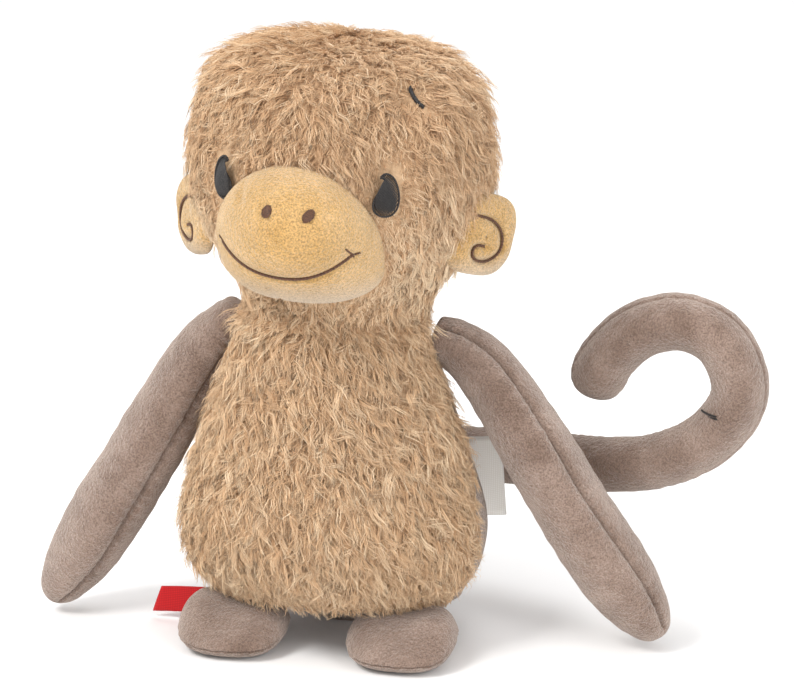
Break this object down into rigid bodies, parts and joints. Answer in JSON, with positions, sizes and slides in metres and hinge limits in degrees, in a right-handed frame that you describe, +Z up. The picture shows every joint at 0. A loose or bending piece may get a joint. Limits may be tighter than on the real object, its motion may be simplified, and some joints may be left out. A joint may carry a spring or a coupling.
{
  "type": "stuffed monkey",
  "caption": "Seated plush monkey with a long-pile body and head, velour muzzle, ears, arms and feet, and a curled tail; limbs, ears, tail and neck bend at their seams.",
  "frame": {"origin": "centre of the flat base face that the toy sits on, on the floor", "axes": "+Z up, -Y the way the face looks, +X towards the side that the tail curls on"},
  "size_m": [0.2813, 0.1519, 0.239],
  "materials": {
    "long_pile": "long curly pile",
    "taupe_velour": "short soft pile",
    "ochre_velour": "short soft pile",
    "dark_thread": "satin stitch",
    "brown_thread": "satin stitch",
    "white_ribbon": "woven ribbon",
    "red_ribbon": "woven ribbon",
    "filling": "fibre fill",
    "beads": "small beads in a pouch"
  },
  "bodies": {
    "trunk": {"body_front_panel": "long_pile", "body_back_panel": "taupe_velour", "base_panel": "taupe_velour", "body_filling": "filling", "bead_pouch": "beads", "seat_tag": "red_ribbon"},
    "side_label": {"side_label": "white_ribbon"},
    "neck": {"neck_filling": "filling"},
    "head": {"head_front_panel": "long_pile", "head_back_panel": "long_pile", "head_filling": "filling", "muzzle_cover": "ochre_velour", "muzzle_filling": "filling", "mouth_stitching": "brown_thread", "nostril_left": "brown_thread", "nostril_right": "brown_thread", "eye_left": "dark_thread", "eye_right": "dark_thread", "brow_dart_stitch": "dark_thread"},
    "tail": {"tail_front_panel": "taupe_velour", "tail_back_panel": "taupe_velour", "tail_filling": "filling", "tail_tack_stitch": "dark_thread"},
    "ear_left": {"ear_left_front": "ochre_velour", "ear_left_back": "taupe_velour", "ear_left_padding": "filling", "ear_left_stitching": "brown_thread"},
    "arm_left": {"arm_left_outer": "taupe_velour", "arm_left_inner": "taupe_velour", "arm_left_filling": "filling"},
    "foot_left": {"foot_left_top": "taupe_velour", "foot_left_sole": "taupe_velour", "foot_left_filling": "filling"},
    "ear_right": {"ear_right_front": "ochre_velour", "ear_right_back": "taupe_velour", "ear_right_padding": "filling", "ear_right_stitching": "brown_thread"},
    "arm_right": {"arm_right_outer": "taupe_velour", "arm_right_inner": "taupe_velour", "arm_right_filling": "filling"},
    "foot_right": {"foot_right_top": "taupe_velour", "foot_right_sole": "taupe_velour", "foot_right_filling": "filling"}
  },
  "joints": [
    {"name": "head_turn", "type": "hinge", "parent": "trunk", "child": "neck", "pos_m": [0, -0.025, 0.112], "axis": [0, 0, 1], "range_deg": [-40, 40], "stiffness_Nm_per_rad": 0.25},
    {"name": "head_nod", "type": "hinge", "parent": "neck", "child": "head", "pos_m": [0, -0.025, 0.112], "axis": [1, 0, 0], "range_deg": [-15, 15], "stiffness_Nm_per_rad": 0.5},
    {"name": "shoulder_left", "type": "hinge", "parent": "trunk", "child": "arm_left", "pos_m": [-0.048, -0.0205, 0.1245], "axis": [-1, 0, 0], "range_deg": [-40, 120], "stiffness_Nm_per_rad": 0.03},
    {"name": "ear_left_fold", "type": "hinge", "parent": "head", "child": "ear_left", "pos_m": [-0.05026, -0.03595, 0.16726], "axis": [-0.12, 0.1846, 0.9755], "range_deg": [-6, 60], "stiffness_Nm_per_rad": 0.005},
    {"name": "foot_left_splay", "type": "hinge", "parent": "trunk", "child": "foot_left", "pos_m": [-0.03, -0.039, 0.008], "axis": [0, 0, 1], "range_deg": [-25, 12], "stiffness_Nm_per_rad": 0.05},
    {"name": "shoulder_right", "type": "hinge", "parent": "trunk", "child": "arm_right", "pos_m": [0.048, -0.0205, 0.1245], "axis": [-1, 0, 0], "range_deg": [-5, 120], "stiffness_Nm_per_rad": 0.03},
    {"name": "ear_right_fold", "type": "hinge", "parent": "head", "child": "ear_right", "pos_m": [0.05512, -0.0424, 0.17058], "axis": [0.2092, 0.1645, 0.9639], "range_deg": [-60, 6], "stiffness_Nm_per_rad": 0.005},
    {"name": "foot_right_splay", "type": "hinge", "parent": "trunk", "child": "foot_right", "pos_m": [0.03, -0.039, 0.008], "axis": [0, 0, 1], "range_deg": [-12, 25], "stiffness_Nm_per_rad": 0.05},
    {"name": "tail_swing", "type": "hinge", "parent": "trunk", "child": "tail", "pos_m": [-0.002, 0.0395, 0.055], "axis": [0, 0, 1], "range_deg": [0, 80], "stiffness_Nm_per_rad": 0.05},
    {"name": "side_label_flap", "type": "hinge", "parent": "trunk", "child": "side_label", "pos_m": [0.0592, -0.013, 0.068], "axis": [0, 0, 1], "range_deg": [-20, 30], "stiffness_Nm_per_rad": 0.0004}
  ]
}
